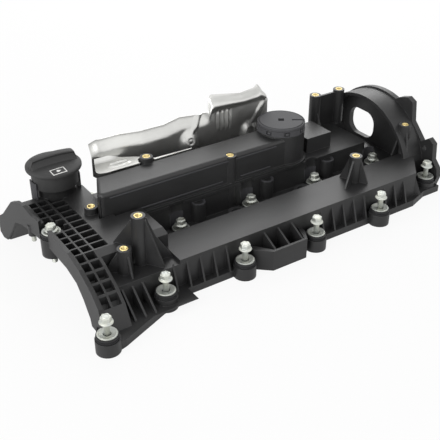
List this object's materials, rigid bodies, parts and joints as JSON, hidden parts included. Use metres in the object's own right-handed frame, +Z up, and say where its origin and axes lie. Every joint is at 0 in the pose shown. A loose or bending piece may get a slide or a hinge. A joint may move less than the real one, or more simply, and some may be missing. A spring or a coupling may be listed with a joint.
{
  "type": "engine valve cover",
  "caption": "Ribbed plastic valve cover for one cylinder bank, with oil filler cap, oil separator, raised bolts, threaded inserts and a sheet metal heat shield.",
  "frame": {"origin": "on the gasket plane, in the middle of the front bolt row", "axes": "+X along the cylinder bank towards the pump end, +Y across the head towards the heat shield, +Z up out of the gasket plane"},
  "size_m": [0.4891, 0.2542, 0.126],
  "materials": {
    "glass_filled_nylon": "moulded black, slight sheen",
    "filler_cap_plastic": "moulded black, fine grain",
    "valve_cap_plastic": "moulded dark grey",
    "seal_rubber": "smooth rubber",
    "grommet_rubber": "matt rubber",
    "spring_steel": "drawn wire",
    "shield_aluminium": "rolled sheet, bright, dimpled",
    "zinc_steel": "zinc plated",
    "insert_brass": "turned"
  },
  "bodies": {
    "cover_assembly": {"cover": "glass_filled_nylon", "separator_cover": "glass_filled_nylon", "baffle_plate": "glass_filled_nylon", "pcv_cap": "valve_cap_plastic", "pcv_diaphragm": "seal_rubber", "pcv_spring": "spring_steel", "heat_shield": "shield_aluminium", "shield_screws": "zinc_steel", "cam_cover_gasket": "seal_rubber", "injector_seals": "seal_rubber", "brass_inserts": "insert_brass", "compression_sleeves": "zinc_steel", "grommets": "grommet_rubber", "locating_dowel": "zinc_steel"},
    "filler_cap": {"oil_filler_cap": "filler_cap_plastic", "cap_seal": "seal_rubber"},
    "pcv_plate": {"pcv_valve": "valve_cap_plastic"},
    "bolt_left_corner_body": {"bolt_left_corner": "zinc_steel"},
    "bolt_right_corner_body": {"bolt_right_corner": "zinc_steel"},
    "bolt_arch_body": {"bolt_arch": "zinc_steel"},
    "bolt_front_1_body": {"bolt_front_1": "zinc_steel"},
    "bolt_front_2_body": {"bolt_front_2": "zinc_steel"},
    "bolt_front_3_body": {"bolt_front_3": "zinc_steel"},
    "bolt_front_4_body": {"bolt_front_4": "zinc_steel"},
    "bolt_inner_1_body": {"bolt_inner_1": "zinc_steel"},
    "bolt_inner_2_body": {"bolt_inner_2": "zinc_steel"},
    "bolt_inner_3_body": {"bolt_inner_3": "zinc_steel"},
    "bolt_inner_4_body": {"bolt_inner_4": "zinc_steel"},
    "bolt_rear_1_body": {"bolt_rear_1": "zinc_steel"},
    "bolt_rear_2_body": {"bolt_rear_2": "zinc_steel"},
    "bolt_rear_3_body": {"bolt_rear_3": "zinc_steel"},
    "bolt_rear_4_body": {"bolt_rear_4": "zinc_steel"}
  },
  "joints": [
    {"name": "cap_turn", "type": "hinge", "parent": "cover_assembly", "child": "filler_cap", "pos_m": [-0.172, 0.18, 0.07], "axis": [0, 0, 1], "range_deg": [0, 90]},
    {"name": "pcv_valve_slide", "type": "slide", "parent": "cover_assembly", "child": "pcv_plate", "axis": [0, 0, -1], "range_m": [0, 0.003], "stiffness_N_per_m": 150, "deforming": ["pcv_spring"]},
    {"name": "bolt_left_corner_slide", "type": "slide", "parent": "cover_assembly", "child": "bolt_left_corner_body", "axis": [0, 0, 1], "range_m": [-0.0118, 0.006]},
    {"name": "bolt_right_corner_slide", "type": "slide", "parent": "cover_assembly", "child": "bolt_right_corner_body", "axis": [0, 0, 1], "range_m": [-0.0118, 0.006]},
    {"name": "bolt_arch_slide", "type": "slide", "parent": "cover_assembly", "child": "bolt_arch_body", "axis": [0, 0, 1], "range_m": [0, 0.018]},
    {"name": "bolt_front_1_slide", "type": "slide", "parent": "cover_assembly", "child": "bolt_front_1_body", "axis": [0, 0, 1], "range_m": [-0.0118, 0.006]},
    {"name": "bolt_front_2_slide", "type": "slide", "parent": "cover_assembly", "child": "bolt_front_2_body", "axis": [0, 0, 1], "range_m": [-0.0118, 0.006]},
    {"name": "bolt_front_3_slide", "type": "slide", "parent": "cover_assembly", "child": "bolt_front_3_body", "axis": [0, 0, 1], "range_m": [-0.0118, 0.006]},
    {"name": "bolt_front_4_slide", "type": "slide", "parent": "cover_assembly", "child": "bolt_front_4_body", "axis": [0, 0, 1], "range_m": [-0.0118, 0.006]},
    {"name": "bolt_inner_1_slide", "type": "slide", "parent": "cover_assembly", "child": "bolt_inner_1_body", "axis": [0, 0, 1], "range_m": [-0.0028, 0.012]},
    {"name": "bolt_inner_2_slide", "type": "slide", "parent": "cover_assembly", "child": "bolt_inner_2_body", "axis": [0, 0, 1], "range_m": [-0.0028, 0.012]},
    {"name": "bolt_inner_3_slide", "type": "slide", "parent": "cover_assembly", "child": "bolt_inner_3_body", "axis": [0, 0, 1], "range_m": [-0.0028, 0.012]},
    {"name": "bolt_inner_4_slide", "type": "slide", "parent": "cover_assembly", "child": "bolt_inner_4_body", "axis": [0, 0, 1], "range_m": [-0.0028, 0.012]},
    {"name": "bolt_rear_1_slide", "type": "slide", "parent": "cover_assembly", "child": "bolt_rear_1_body", "axis": [0, 0, 1], "range_m": [-0.0118, 0.006]},
    {"name": "bolt_rear_2_slide", "type": "slide", "parent": "cover_assembly", "child": "bolt_rear_2_body", "axis": [0, 0, 1], "range_m": [-0.0118, 0.006]},
    {"name": "bolt_rear_3_slide", "type": "slide", "parent": "cover_assembly", "child": "bolt_rear_3_body", "axis": [0, 0, 1], "range_m": [-0.0118, 0.006]},
    {"name": "bolt_rear_4_slide", "type": "slide", "parent": "cover_assembly", "child": "bolt_rear_4_body", "axis": [0, 0, 1], "range_m": [-0.0118, 0.006]}
  ]
}
